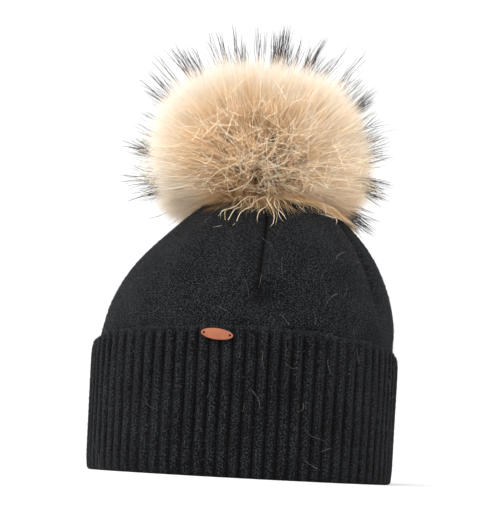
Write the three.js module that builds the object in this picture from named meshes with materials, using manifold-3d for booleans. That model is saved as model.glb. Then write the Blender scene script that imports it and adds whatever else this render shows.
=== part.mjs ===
// A knitted beanie with a turned-up ribbed cuff and a fur pompom, at its real size in millimetres.
// +Z is up, the front with the tag faces -Y, and the origin is under the middle of the cuff,
// on the surface that the hat rests on.
import * as THREE from 'three';
import { mergeVertices } from 'three/addons/utils/BufferGeometryUtils.js';
import Module from 'manifold-3d';

const wasm = await Module();
wasm.setup();

// Driving dimensions

const CUFF_WIDTH = 189; // side to side, over the rib crests
const CUFF_DEPTH = 152; // front to back, over the rib crests
const CUFF_HEIGHT = 75; // from the surface to the turned-up edge at the sides
const CUFF_FRONT_RISE = 9.5; // how much higher that edge stands at the front
const CUFF_LAYER = 3.6; // one layer of rib knit, crest to back
const LAYER_GAP = 0.5; // air between the two layers of the fold, and between cuff and crown
const RIB_COUNT = 78;
const RIB_DEPTH = 1.5; // crest to groove
const RIB_GROOVE = 0.44; // share of a rib's pitch that the groove's two slopes take
const CUFF_FOOT = 3.4; // width of the ring that is pressed flat on the surface

const CROWN_RISE = 108; // from the cuff's edge at the sides to the gathered top
const CROWN_WALL = 2.8; // plain knit
const CROWN_TUCK = 18; // how far the crown reaches down behind the turned-up layer
const CROWN_LEAN = 10.5; // how far the top leans to the right
const CROWN_STEPS = 16; // facets between one dart and the next
const DART_DEPTH = 6.5; // of the deepest crease
const DART_REACH = 6; // how far the knit is drawn in beside a crease
const DART_GATHER = 0.55; // from 0 to 1, how much the facets crowd towards the creases

const POMPOM_WIDTH = 144; // side to side, over the ends of the locks
const POMPOM_DEPTH = 134; // front to back, over the ends of the locks
const POMPOM_HEIGHT = 124; // lowest lock to highest
const POMPOM_CORE = 0.72; // share of those sizes that the dense fur fills
const POMPOM_LIFT = 20; // the pompom's centre above the gathered top
const POMPOM_OFFSET = -9; // the pompom's centre to the side of the gathered top
const POMPOM_CLEARANCE = 0.6; // between the fur's underside and the crown
const LOCK_COUNT = 50;
const LOCK_RADIUS = 15.5; // half the width of a lock where it is thickest
const LOCK_SIDES = 5;
const LOCK_ROOT = 0.45; // where a lock starts, as a share of the way to its end
const LOCK_CURL = 11; // how far a lock's end strays sideways
const LOCK_DROOP = 7; // how far the end of a level lock hangs down

const TAG_WIDTH = 18.2;
const TAG_HEIGHT = 6.2;
const TAG_THICKNESS = 1.2;
const TAG_EDGE = 0.25; // rounding of its edge
const TAG_HOLE = 1.1; // diameter
const TAG_HOLE_SPACING = 14.9;
const TAG_OFFSET = -16; // from the middle of the front to the tag's centre
const TAG_DROP = 5.4; // from the cuff's edge down to the tag's centre
const TAG_TILT = 5; // degrees, its right end lower

const CLEARANCE = 0.3; // between touching pieces

// Sizes that follow

const foldThickness = 2 * CUFF_LAYER + LAYER_GAP;
const crownInset = CUFF_LAYER + LAYER_GAP;
const crownHalfWidth = CUFF_WIDTH / 2 - crownInset;
const crownHalfDepth = CUFF_DEPTH / 2 - crownInset;
const crownFoot = CUFF_HEIGHT - CROWN_TUCK;
const crownTop = CUFF_HEIGHT + CROWN_RISE;

// Each row is a turn of the cuff's section, from the turned-up edge down its outside, under the
// fold, up the inside and back through the gap between the layers. Insets are measured inward from
// the outer rib crests and heights from the surface. Rib is +1 where crests face outward, -1 where
// they face the head, and rise says how much of the front's extra height the row takes.
const footInset = 0.62 * (foldThickness - CUFF_FOOT);
const CUFF_ROWS = [
  { inset: 0.30 * CUFF_LAYER, height: CUFF_HEIGHT, rib: 0.55, rise: 1 },
  { inset: 0, height: 0.955 * CUFF_HEIGHT, rib: 1, rise: 1 },
  { inset: 0.42 * CUFF_LAYER, height: 0.11 * CUFF_HEIGHT, rib: 1, rise: 0 },
  { inset: 0.40 * footInset + 0.28 * CUFF_LAYER, height: 0.035 * CUFF_HEIGHT, rib: 0.7, rise: 0 },
  { inset: footInset, height: 0, rib: 0, rise: 0 },
  { inset: footInset + CUFF_FOOT, height: 0, rib: 0, rise: 0 },
  { inset: foldThickness, height: 0.08 * CUFF_HEIGHT, rib: -1, rise: 0 },
  { inset: foldThickness, height: crownFoot - CLEARANCE, rib: -1, rise: 0 },
  { inset: crownInset, height: crownFoot - CLEARANCE, rib: 0, rise: 0 },
  { inset: CUFF_LAYER + LAYER_GAP / 2, height: CUFF_LAYER, rib: 0, rise: 0 },
  { inset: CUFF_LAYER, height: CUFF_HEIGHT, rib: 0, rise: 1 },
];

// Each row is a ring of the crown above the cuff's edge: its height as a share of the crown's rise,
// its width and depth as shares of the crown's at the cuff, its shift as a share of the lean, and
// how much of a dart's depth it shows.
const CROWN_ROWS = [
  { height: 0.000, width: 1.000, depth: 1.000, lean: 0.00, dart: 0.00 },
  { height: 0.075, width: 0.992, depth: 0.995, lean: 0.10, dart: 0.00 },
  { height: 0.160, width: 0.985, depth: 0.985, lean: 0.22, dart: 0.06 },
  { height: 0.260, width: 0.963, depth: 0.964, lean: 0.26, dart: 0.22 },
  { height: 0.370, width: 0.916, depth: 0.925, lean: 0.40, dart: 0.60 },
  { height: 0.480, width: 0.848, depth: 0.868, lean: 0.56, dart: 0.92 },
  { height: 0.590, width: 0.753, depth: 0.780, lean: 0.77, dart: 1.00 },
  { height: 0.700, width: 0.638, depth: 0.672, lean: 0.90, dart: 0.95 },
  { height: 0.800, width: 0.508, depth: 0.550, lean: 0.97, dart: 0.75 },
  { height: 0.890, width: 0.365, depth: 0.405, lean: 1.00, dart: 0.45 },
  { height: 0.960, width: 0.210, depth: 0.235, lean: 1.00, dart: 0.15 },
  { height: 1.000, width: 0.050, depth: 0.060, lean: 1.00, dart: 0.00 },
];

// Each row is a dart, counterclockwise from above: its place in degrees from the front at the foot
// of its crease and at the gathered top, and its depth as a share of the deepest.
const DARTS = [
  { foot: 4, top: -3, depth: 1.0 },
  { foot: 57, top: 64, depth: 0.7 },
  { foot: 183, top: 180, depth: 0.9 },
  { foot: 268, top: 272, depth: 0.45 },
];

// Shared shapes

// A turn of 0 points at the front and a quarter turn points right.
function ovalPoint(halfWidth, halfDepth, turn, height) {
  return new THREE.Vector3(halfWidth * Math.sin(turn), -halfDepth * Math.cos(turn), height);
}

// Joins rings of equal length, listed down the outside, into one closed skin. With two ends, the
// first and last ring close on those points, and without them the last ring joins the first.
function skin(rings, ends) {
  const around = rings[0].length;
  const points = rings.flat();
  const triangles = [];
  const bands = ends ? rings.length - 1 : rings.length;
  for (let band = 0; band < bands; band += 1) {
    const upper = band * around;
    const lower = ((band + 1) % rings.length) * around;
    for (let step = 0; step < around; step += 1) {
      const next = (step + 1) % around;
      triangles.push(upper + step, lower + step, upper + next);
      triangles.push(lower + step, lower + next, upper + next);
    }
  }
  if (ends) {
    const first = points.push(ends[0]) - 1;
    const last = points.push(ends[1]) - 1;
    const lastRing = (rings.length - 1) * around;
    for (let step = 0; step < around; step += 1) {
      const next = (step + 1) % around;
      triangles.push(first, step, next);
      triangles.push(last, lastRing + next, lastRing + step);
    }
  }
  const geometry = new THREE.BufferGeometry().setFromPoints(points);
  geometry.setIndex(triangles);
  return geometry;
}

function toSolid(geometry) {
  const bare = geometry.clone();
  bare.deleteAttribute('normal');
  bare.deleteAttribute('uv');
  const merged = mergeVertices(bare);
  return new wasm.Manifold(new wasm.Mesh({
    numProp: 3,
    vertProperties: new Float32Array(merged.attributes.position.array),
    triVerts: new Uint32Array(merged.index.array),
  }));
}

function fromSolid(solid) {
  const mesh = solid.getMesh();
  const geometry = new THREE.BufferGeometry();
  geometry.setAttribute('position', new THREE.BufferAttribute(mesh.vertProperties, 3));
  geometry.setIndex(new THREE.BufferAttribute(mesh.triVerts, 1));
  return geometry;
}

function namedMesh(name, geometry, finish) {
  geometry.computeVertexNormals();
  const mesh = new THREE.Mesh(geometry, new THREE.MeshStandardMaterial(finish));
  mesh.name = name;
  return mesh;
}

// Cuff

// Turns that divide the oval's outline into equal lengths, at the given shares of its length.
function turnsAtShares(halfWidth, halfDepth, shares) {
  const samples = 1440;
  const lengths = [0];
  for (let sample = 1; sample <= samples; sample += 1) {
    const turn = ((sample - 0.5) / samples) * 2 * Math.PI;
    const step = Math.hypot(halfWidth * Math.cos(turn), halfDepth * Math.sin(turn));
    lengths.push(lengths[sample - 1] + step);
  }
  let sample = 0;
  return shares.map((share) => {
    const wanted = share * lengths[samples];
    while (lengths[sample + 1] < wanted) sample += 1;
    const part = (wanted - lengths[sample]) / (lengths[sample + 1] - lengths[sample]);
    return ((sample + part) / samples) * 2 * Math.PI;
  });
}

// Share of the front's extra height at a turn: all of it at the front, none from the sides back.
const RISE_FADE = 0.8; // below 1, the extra height reaches further round to the sides

function frontShare(turn) {
  return Math.max(0, Math.cos(turn)) ** RISE_FADE;
}

function cuffGeometry() {
  const shares = [];
  for (let rib = 0; rib < RIB_COUNT; rib += 1) {
    shares.push(rib / RIB_COUNT);
    shares.push((rib + RIB_GROOVE / 2) / RIB_COUNT);
    shares.push((rib + 1 - RIB_GROOVE / 2) / RIB_COUNT);
  }
  const turns = turnsAtShares(CUFF_WIDTH / 2, CUFF_DEPTH / 2, shares);
  const rings = CUFF_ROWS.map((row) => turns.map((turn, index) => {
    const groove = index % 3 === 0 ? RIB_DEPTH : 0;
    const inset = row.inset + row.rib * groove;
    const height = row.height + row.rise * CUFF_FRONT_RISE * frontShare(turn);
    return ovalPoint(CUFF_WIDTH / 2 - inset, CUFF_DEPTH / 2 - inset, turn, height);
  }));
  return skin(rings, null);
}

// Crown

function dartTurn(dart, share) {
  return THREE.MathUtils.degToRad(THREE.MathUtils.lerp(dart.foot, dart.top, share));
}

// Turns around a ring, closer together beside each dart, so that facets meet along the creases.
function crownTurns(share, steps) {
  const turns = [];
  DARTS.forEach((dart, index) => {
    const start = dartTurn(dart, share);
    const following = DARTS[(index + 1) % DARTS.length];
    const end = dartTurn(following, share) + (index + 1 === DARTS.length ? 2 * Math.PI : 0);
    for (let step = 0; step < steps; step += 1) {
      const even = step / steps;
      const gathered = even - (DART_GATHER / (2 * Math.PI)) * Math.sin(2 * Math.PI * even);
      turns.push(THREE.MathUtils.lerp(start, end, gathered));
    }
  });
  return turns;
}

// How deep the darts draw the knit in at a turn of a ring, as a share of the deepest crease.
function dartPull(turn, share, radius) {
  let pull = 0;
  for (const dart of DARTS) {
    const away = turn - dartTurn(dart, share);
    const wrapped = Math.atan2(Math.sin(away), Math.cos(away));
    pull += dart.depth * Math.exp(-Math.abs(wrapped * radius) / DART_REACH);
  }
  return pull;
}

// The section's outward direction at a row, from its neighbours.
function rowNormal(rows, index) {
  const above = rows[Math.min(index + 1, rows.length - 1)];
  const below = rows[Math.max(index - 1, 0)];
  const out = above.z - below.z;
  const up = below.halfWidth - above.halfWidth;
  const length = Math.hypot(out, up);
  return { out: out / length, up: up / length };
}

const crownRows = [
  { z: crownFoot, halfWidth: crownHalfWidth, halfDepth: crownHalfDepth, x: 0, dart: 0, share: 0 },
  ...CROWN_ROWS.map((row) => ({
    z: CUFF_HEIGHT + row.height * CROWN_RISE,
    halfWidth: row.width * crownHalfWidth,
    halfDepth: row.depth * crownHalfDepth,
    x: row.lean * CROWN_LEAN,
    dart: row.dart,
    share: row.height,
  })),
];

// One ring of the crown's knit, moved inward along the section's normal.
function crownRing(index, inset, steps, dartDepth) {
  const row = crownRows[index];
  const normal = rowNormal(crownRows, index);
  return crownTurns(row.share, steps).map((turn) => {
    const radius = (row.halfWidth + row.halfDepth) / 2;
    const pull = row.dart * dartDepth * dartPull(turn, row.share, radius);
    const inward = (inset + pull) * normal.out;
    const point = ovalPoint(row.halfWidth - inward, row.halfDepth - inward, turn, 0);
    point.x += row.x;
    point.z = row.z - (inset + pull) * normal.up;
    return point;
  });
}

function crownPole(inset) {
  return new THREE.Vector3(CROWN_LEAN, 0, crownTop - inset);
}

function crownGeometry() {
  const upward = crownRows.map((row, index) => index);
  const downward = [...upward].reverse();
  const everySecond = upward.filter((index) => index % 2 === 0);
  const outer = downward.map((index) => crownRing(index, 0, CROWN_STEPS, DART_DEPTH));
  const inner = everySecond.map((index) => crownRing(index, CROWN_WALL, CROWN_STEPS, DART_DEPTH));
  return skin([...outer, ...inner], [crownPole(0), crownPole(CROWN_WALL)]);
}

// The space that the crown fills, a little larger and without its darts, to clear the fur by.
function crownSpace() {
  const downward = crownRows.map((row, index) => index).reverse();
  const rings = downward.map((index) => crownRing(index, -POMPOM_CLEARANCE, CROWN_STEPS / 2, 0));
  const foot = new THREE.Vector3(0, 0, crownFoot);
  return toSolid(skin(rings, [crownPole(-POMPOM_CLEARANCE), foot]));
}

// Pompom

const pompomCentre = new THREE.Vector3(CROWN_LEAN + POMPOM_OFFSET, 0, crownTop + POMPOM_LIFT);
const SHOULDER = 2.4; // above 2, the ball's outline is fuller than an ellipse at its shoulders

// The distance from the pompom's centre to the ends of its locks in a direction.
function furReach(direction) {
  const wide = Math.abs(direction.x / (POMPOM_WIDTH / 2)) ** SHOULDER;
  const deep = Math.abs(direction.y / (POMPOM_DEPTH / 2)) ** SHOULDER;
  const high = Math.abs(direction.z / (POMPOM_HEIGHT / 2)) ** SHOULDER;
  return (wide + deep + high) ** (-1 / SHOULDER);
}

// A number from 0 to 1 that looks random but is the same each time.
function scatter(index, salt) {
  const wave = Math.sin(index * 12.9898 + salt * 78.233) * 43758.5453;
  return wave - Math.floor(wave);
}

function pompomCore() {
  const facets = new THREE.IcosahedronGeometry(1, 3);
  const ball = mergeVertices(facets.deleteAttribute('normal').deleteAttribute('uv'));
  const position = ball.attributes.position;
  const direction = new THREE.Vector3();
  for (let vertex = 0; vertex < position.count; vertex += 1) {
    direction.fromBufferAttribute(position, vertex).normalize();
    const reach = POMPOM_CORE * furReach(direction);
    position.setXYZ(vertex, direction.x * reach, direction.y * reach, direction.z * reach);
  }
  ball.translate(pompomCentre.x, pompomCentre.y, pompomCentre.z);
  return toSolid(ball);
}

// Directions spread evenly over a ball, by the golden angle.
function lockDirection(index) {
  const up = 1 - (2 * index + 1) / LOCK_COUNT;
  const turn = index * Math.PI * (3 - Math.sqrt(5));
  const level = Math.sqrt(1 - up * up);
  return new THREE.Vector3(level * Math.cos(turn), level * Math.sin(turn), up);
}

// Each row is a ring along a lock: how far along it lies and its size as a share of the lock's.
const LOCK_ROWS = [
  { along: 0.84, size: 0.62 },
  { along: 0.55, size: 1.00 },
  { along: 0.00, size: 0.75 },
];

// One tapered lock from inside the core to the pompom's outline, its end curled and hanging a
// little.
function furLock(index) {
  const direction = lockDirection(index);
  const root = direction.clone().multiplyScalar(LOCK_ROOT * furReach(direction));
  const span = direction.clone().multiplyScalar((1 - LOCK_ROOT) * furReach(direction));
  const side = new THREE.Vector3(0, 0, 1).cross(direction).normalize();
  const along = direction.clone().cross(side);
  const bend = side.clone().multiplyScalar(LOCK_CURL * (scatter(index, 1) - 0.5));
  bend.addScaledVector(along, LOCK_CURL * (scatter(index, 2) - 0.5));
  bend.z -= LOCK_DROOP * (1 - Math.abs(direction.z));
  const radius = LOCK_RADIUS * (0.85 + 0.3 * scatter(index, 3));
  const middle = (share) => root.clone()
    .addScaledVector(span, share)
    .addScaledVector(bend, share * share)
    .add(pompomCentre);
  const rings = LOCK_ROWS.map((row) => {
    const centre = middle(row.along);
    const ring = [];
    for (let step = 0; step < LOCK_SIDES; step += 1) {
      const turn = (step / LOCK_SIDES + scatter(index, 4)) * 2 * Math.PI;
      const point = centre.clone().addScaledVector(side, radius * row.size * Math.cos(turn));
      ring.push(point.addScaledVector(along, radius * row.size * Math.sin(turn)));
    }
    return ring;
  });
  return toSolid(skin(rings, [middle(1), middle(0)]));
}

function pompomGeometry() {
  let fur = pompomCore();
  for (let index = 0; index < LOCK_COUNT; index += 1) {
    fur = fur.add(furLock(index));
  }
  return fromSolid(fur.subtract(crownSpace()));
}

// Tag

const TAG_SIDES = 30;
const HOLE_SIDES = 8;

function ovalOutline(middle, halfWidth, halfHeight, sides) {
  const points = new THREE.EllipseCurve(middle, 0, halfWidth, halfHeight).getPoints(sides);
  return points.slice(0, sides);
}

function tagGeometry() {
  const halfWidth = TAG_WIDTH / 2 - TAG_EDGE;
  const outline = new THREE.Shape(ovalOutline(0, halfWidth, TAG_HEIGHT / 2 - TAG_EDGE, TAG_SIDES));
  for (const side of [-1, 1]) {
    const radius = TAG_HOLE / 2 + TAG_EDGE;
    const hole = ovalOutline((side * TAG_HOLE_SPACING) / 2, radius, radius, HOLE_SIDES);
    outline.holes.push(new THREE.Path(hole));
  }
  return new THREE.ExtrudeGeometry(outline, {
    depth: TAG_THICKNESS - 2 * TAG_EDGE,
    bevelThickness: TAG_EDGE,
    bevelSize: TAG_EDGE,
    bevelSegments: 1,
  });
}

// Stands the tag on the rib crests, facing straight out from the cuff.
function seatTag(mesh) {
  const turn = Math.asin(TAG_OFFSET / (CUFF_WIDTH / 2));
  const normal = new THREE.Vector3(Math.sin(turn) / CUFF_WIDTH, -Math.cos(turn) / CUFF_DEPTH, 0);
  normal.normalize();
  const up = new THREE.Vector3(0, 0, 1);
  const right = up.clone().cross(normal);
  const edge = CUFF_HEIGHT + CUFF_FRONT_RISE * frontShare(turn);
  mesh.quaternion.setFromRotationMatrix(new THREE.Matrix4().makeBasis(right, up, normal));
  mesh.rotateZ(THREE.MathUtils.degToRad(-TAG_TILT));
  mesh.position.copy(ovalPoint(CUFF_WIDTH / 2, CUFF_DEPTH / 2, turn, edge - TAG_DROP));
  mesh.position.addScaledVector(normal, CLEARANCE + TAG_EDGE);
}

// The hat

const group = new THREE.Group();
group.add(namedMesh('cuff', cuffGeometry(), { color: '#1f2123', roughness: 0.95, metalness: 0 }));
group.add(namedMesh('crown', crownGeometry(), { color: '#26282b', roughness: 0.95, metalness: 0 }));
group.add(namedMesh('pompom', pompomGeometry(), { color: '#dcc4a0', roughness: 0.9, metalness: 0 }));

const tag = namedMesh('tag', tagGeometry(), { color: '#c77957', roughness: 0.6, metalness: 0 });
seatTag(tag);
group.add(tag);

export default group;
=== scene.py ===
# %% [markdown]
# A knitted beanie with a fur pompom.
#
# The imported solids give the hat's real size and place. This script sets up a plain studio and
# then dresses them with the knit of the crown and the ribbed cuff, the fur of the pompom and the
# small oval tag. Everything is in metres, with +Z up and the front facing -Y.

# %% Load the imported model
import math

import bmesh
import bpy
import numpy as np
from mathutils import Matrix, Vector


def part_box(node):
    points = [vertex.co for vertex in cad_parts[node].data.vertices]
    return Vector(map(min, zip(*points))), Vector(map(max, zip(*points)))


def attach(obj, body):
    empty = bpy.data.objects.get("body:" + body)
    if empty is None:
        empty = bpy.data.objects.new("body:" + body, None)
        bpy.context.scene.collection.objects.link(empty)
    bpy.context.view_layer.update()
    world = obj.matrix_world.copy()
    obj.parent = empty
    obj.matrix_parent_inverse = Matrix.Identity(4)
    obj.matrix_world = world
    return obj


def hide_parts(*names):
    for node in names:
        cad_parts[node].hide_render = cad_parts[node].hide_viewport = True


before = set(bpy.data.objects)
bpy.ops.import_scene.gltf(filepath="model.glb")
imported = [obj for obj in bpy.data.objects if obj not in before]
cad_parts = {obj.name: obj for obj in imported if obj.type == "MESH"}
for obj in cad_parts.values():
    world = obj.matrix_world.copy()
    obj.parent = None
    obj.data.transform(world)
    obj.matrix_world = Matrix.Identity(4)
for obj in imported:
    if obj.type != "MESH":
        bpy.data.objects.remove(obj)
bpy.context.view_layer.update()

MM = 0.001
print("packed nodes:", sorted(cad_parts))

# %% [markdown]
# The camera comes first, because everything after it is judged through it. The photograph was
# taken so low that we look up at the hat. Here the hat stands on a floor, so the camera stands
# just above that floor and tilts up. The hat leans a few degrees to the right in the picture, and
# a camera that is rolled the other way gives the same lean.

# %% Camera
IMAGE_HEIGHT = 530
CAMERA_DISTANCE = 0.8
CAMERA_HEIGHT = 0.010
FOCAL_PIXELS = 1300
SENSOR = 36.0
LOOK_AT = Vector((0.0013, 0.0, 0.1303))
ROLL = math.radians(3.1)

bpy.ops.object.camera_add(location=(LOOK_AT.x, -CAMERA_DISTANCE, CAMERA_HEIGHT))
camera = bpy.context.object
camera.name = "camera"
camera.data.sensor_width = SENSOR
camera.data.lens = FOCAL_PIXELS * SENSOR / IMAGE_HEIGHT
camera.data.clip_end = 100
aim = (LOOK_AT - camera.location).to_track_quat("-Z", "Y")
camera.rotation_euler = (aim.to_matrix() @ Matrix.Rotation(ROLL, 3, "Z")).to_euler()
bpy.context.scene.camera = camera
print("camera lens", round(camera.data.lens, 1), "mm")

# %% [markdown]
# The studio is plain: a wide pale floor that meets a white surrounding, one large soft light from
# the upper left and a weaker one from the right. Black wool swallows most of the light, so the
# surrounding is bright.

# %% Floor, surrounding and lights
FLOOR_SIZE = 60.0
FLOOR_COLOUR = (0.93, 0.93, 0.93, 1)
SURROUNDING_STRENGTH = 1.08


def new_material(name, roughness, specular=0.5):
    material = bpy.data.materials.new(name)
    material.use_nodes = True
    shader = material.node_tree.nodes["Principled BSDF"]
    shader.inputs["Roughness"].default_value = roughness
    shader.inputs["Specular IOR Level"].default_value = specular
    return material, material.node_tree, shader


bpy.ops.mesh.primitive_plane_add(size=FLOOR_SIZE, location=(0, 0, 0))
floor = bpy.context.object
floor.name = "floor"
floor_material, _, floor_shader = new_material("pale_floor", 0.9, 0.1)
floor_shader.inputs["Base Color"].default_value = FLOOR_COLOUR
floor.data.materials.append(floor_material)

world = bpy.data.worlds.new("white_surrounding")
world.use_nodes = True
background = world.node_tree.nodes["Background"].inputs
background["Color"].default_value = (1, 1, 1, 1)
background["Strength"].default_value = SURROUNDING_STRENGTH
bpy.context.scene.world = world
bpy.context.scene.view_settings.view_transform = "Standard"


def soft_light(name, place, size, power):
    bpy.ops.object.light_add(type="AREA", location=place)
    light = bpy.context.object
    light.name = name
    light.data.size = size
    light.data.energy = power
    light.rotation_euler = (LOOK_AT - Vector(place)).to_track_quat("-Z", "Y").to_euler()


soft_light("key_light", (-0.8, -1.2, 1.4), 1.3, 28)
soft_light("fill_light", (1.3, -0.9, 0.7), 0.9, 1)
print("studio ready")

# %% [markdown]
# The materials are built from the same few steps: math, noise, colour ramps, mixes, UV maps and
# bumps. Each step gets a helper, so a stitch pattern is a short chain of them.

# %% Node helpers


def add_node(tree, kind, **values):
    node = tree.nodes.new(kind)
    for key, value in values.items():
        setattr(node, key, value)
    return node


def feed(tree, socket, value):
    """Sets an input to a number, or links it to another node's output."""
    if isinstance(value, (int, float)):
        socket.default_value = value
    else:
        tree.links.new(value, socket)


def fill(tree, node, **values):
    for name, value in values.items():
        feed(tree, node.inputs[name], value)


def math_node(tree, operation, *values):
    node = add_node(tree, "ShaderNodeMath", operation=operation)
    for socket, value in zip(node.inputs, values):
        feed(tree, socket, value)
    return node.outputs[0]


def noise_node(tree, vector, scale, detail, roughness=0.6):
    node = add_node(tree, "ShaderNodeTexNoise")
    fill(tree, node, Vector=vector, Scale=scale, Detail=detail, Roughness=roughness)
    return node.outputs["Fac"]


def ramp_node(tree, factor, stops):
    node = add_node(tree, "ShaderNodeValToRGB")
    elements = node.color_ramp.elements
    while len(elements) < len(stops):
        elements.new(0.5)
    for element, (place, colour) in zip(elements, stops):
        element.position = place
        element.color = (*colour, 1)
    fill(tree, node, Fac=factor)
    return node.outputs["Color"]


def linear(red, green, blue):
    """A colour picked on screen, as the light values that shaders use."""
    return tuple(((c / 255 + 0.055) / 1.055) ** 2.4 if c > 10 else c / 255 / 12.92
                 for c in (red, green, blue))


def screen_ramp(tree, factor, stops):
    """A ramp whose colours are given as they look on screen, from 0 to 255."""
    return ramp_node(tree, factor, [(place, linear(*colour)) for place, colour in stops])


def mix_node(tree, factor, first, second, blend_type="MIX"):
    node = add_node(tree, "ShaderNodeMix", data_type="RGBA", blend_type=blend_type)
    fill(tree, node, Factor=factor, A=first, B=second)
    return node.outputs["Result"]


def map_node(tree, name):
    """A UV map as a vector, and its U and V."""
    uv = add_node(tree, "ShaderNodeUVMap", uv_map=name).outputs["UV"]
    parts = add_node(tree, "ShaderNodeSeparateXYZ")
    tree.links.new(uv, parts.inputs[0])
    return uv, parts.outputs["X"], parts.outputs["Y"]


def object_place(tree):
    return add_node(tree, "ShaderNodeTexCoord").outputs["Object"]


def add_bump(tree, shader, height, strength, distance):
    bump = add_node(tree, "ShaderNodeBump")
    fill(tree, bump, Height=height, Strength=strength, Distance=distance)
    fill(tree, shader, Normal=bump.outputs["Normal"])


# %% [markdown]
# The knit is black wool, brushed so that it looks soft: columns of V-shaped stitches, with felted
# fibres on top. Each knitted piece has a UV map in millimetres, across the columns and along them,
# so the stitches follow the cloth round the head and meet at an angle along each dart. That map
# gives the stitches' height, and noise on the object's own coordinates gives the felted fibres.

# %% Knit: the stitches
STITCH_WIDTH = 2.6
STITCH_HEIGHT = 2.1
STITCH_SLANT = 0.75
KNIT_MAP = "knit_map"


def stitch_height(tree, across, along):
    """The height of the stitches from 0 to 1: slanted yarns on rounded columns."""
    column = math_node(tree, "FRACT", math_node(tree, "DIVIDE", across, STITCH_WIDTH))
    side = math_node(tree, "ABSOLUTE", math_node(tree, "MULTIPLY_ADD", column, 2.0, -1.0))
    row = math_node(tree, "DIVIDE", along, STITCH_HEIGHT)
    slanted = math_node(tree, "SUBTRACT", row, math_node(tree, "MULTIPLY", side, STITCH_SLANT))
    turn = math_node(tree, "MULTIPLY", slanted, 2 * math.pi)
    yarn = math_node(tree, "MULTIPLY_ADD", math_node(tree, "COSINE", turn), 0.5, 0.5)
    leg = math_node(tree, "SINE", math_node(tree, "MULTIPLY", side, math.pi))
    return math_node(tree, "MULTIPLY_ADD", yarn, 0.55, math_node(tree, "MULTIPLY", leg, 0.45))


# %% [markdown]
# The wool's colour runs from black to dark grey. The felted fibres pick it, with short streaks and
# broad faint patches, and the low places between the stitches get a little painted shade. On the
# cuff the grooves get painted shade, which fades out at the turned-up edge. On the crown the darts
# and the dimple at the foot of the front dart get painted shade, by a second UV map that is 1 on
# plain cloth, falls to 0 in a dart and is low in the dimple.

# %% Knit: the wool
FELT_SCALE = 1250
PATCH_SCALE = 55
STREAK_SCALE = (0.8, 1.8, 1.0)
KNIT_BUMP = 0.7 * MM
DART_MAP = "dart_map"
WOOL_COLOURS = [(0.46, (1, 1, 2)), (0.535, (8, 9, 10)), (0.61, (50, 52, 56))]
WHITE = (1, 1, 1)
# Painted shade in the cuff's grooves, darkest where a place is farthest from a rib's crest.
GROOVE_SHADE_STOPS = [(0.20, WHITE), (0.34, (0.42, 0.42, 0.43)), (0.44, (0.08, 0.08, 0.08))]
EDGE_STOPS = [(0.01, (0, 0, 0)), (0.05, WHITE)]
# Painted shade in the darts and in the dimple at the foot of the front dart.
DART_SHADE_STOPS = [(0.0, (0.12, 0.12, 0.12)), (0.25, (0.5, 0.5, 0.5)), (0.7, WHITE)]


def wool_colour(tree, uv, stitch, felt):
    patches = noise_node(tree, object_place(tree), PATCH_SCALE, 3)
    stretched = add_node(tree, "ShaderNodeVectorMath", operation="MULTIPLY")
    stretched.inputs[1].default_value = STREAK_SCALE
    tree.links.new(uv, stretched.inputs[0])
    streaks = noise_node(tree, stretched.outputs["Vector"], 1.0, 3, 0.7)
    # The stitches' height darkens the low places between the yarns a little: painted shade.
    shade = math_node(tree, "MULTIPLY_ADD", stitch, 0.06, math_node(tree, "MULTIPLY", felt, 0.58))
    shade = math_node(tree, "MULTIPLY_ADD", streaks, 0.36, shade)
    shade = math_node(tree, "MULTIPLY_ADD", patches, 0.07, shade)
    return screen_ramp(tree, shade, WOOL_COLOURS)


def painted_groove_shade(tree, across, along):
    """The painted shade in the grooves, and its strength, which fades towards the cuff's edge."""
    rib = math_node(tree, "FRACT", math_node(tree, "DIVIDE", across, 2 * STITCH_WIDTH))
    from_crest = math_node(tree, "ABSOLUTE", math_node(tree, "SUBTRACT", rib, 0.5))
    below_edge = math_node(tree, "MULTIPLY", along, -0.01)
    return ramp_node(tree, from_crest, GROOVE_SHADE_STOPS), ramp_node(tree, below_edge, EDGE_STOPS)


def painted_dart_shade(tree):
    """The painted shade of the darts and of the dimple, at full strength."""
    _, from_dart, _ = map_node(tree, DART_MAP)
    return ramp_node(tree, from_dart, DART_SHADE_STOPS), 1.0


def knit_material(name, stitch_bump, ribbed):
    material, tree, shader = new_material(name, 0.95, 0.05)
    shader.inputs["Sheen Weight"].default_value = 0.03
    shader.inputs["Sheen Roughness"].default_value = 0.6
    uv, across, along = map_node(tree, KNIT_MAP)
    stitch = stitch_height(tree, across, along)
    felt = noise_node(tree, object_place(tree), FELT_SCALE, 3, 0.75)
    height = math_node(tree, "MULTIPLY_ADD", stitch, stitch_bump, felt)
    add_bump(tree, shader, height, 0.9, KNIT_BUMP)
    # The painted shade of the grooves or of the darts multiplies the wool's colour.
    painted_shade, strength = painted_groove_shade(tree, across, along) if ribbed else painted_dart_shade(tree)
    colour = mix_node(tree, strength, wool_colour(tree, uv, stitch, felt), painted_shade, "MULTIPLY")
    tree.links.new(colour, shader.inputs["Base Color"])
    return material


crown_wool = knit_material("crown_wool", 0.30, ribbed=False)
cuff_wool = knit_material("cuff_wool", 0.15, ribbed=True)
print("knit materials:", crown_wool.name, cuff_wool.name)

# %% [markdown]
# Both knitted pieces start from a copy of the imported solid, because its walls, folds, ribs and
# darts are already the right size. The copy's triangles are merged, turned back into the quads
# that they came from and smoothed with Subdivision Surface, so that it becomes soft cloth.

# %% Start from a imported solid


def select_only(piece):
    bpy.ops.object.select_all(action="DESELECT")
    piece.select_set(True)
    bpy.context.view_layer.objects.active = piece


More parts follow.
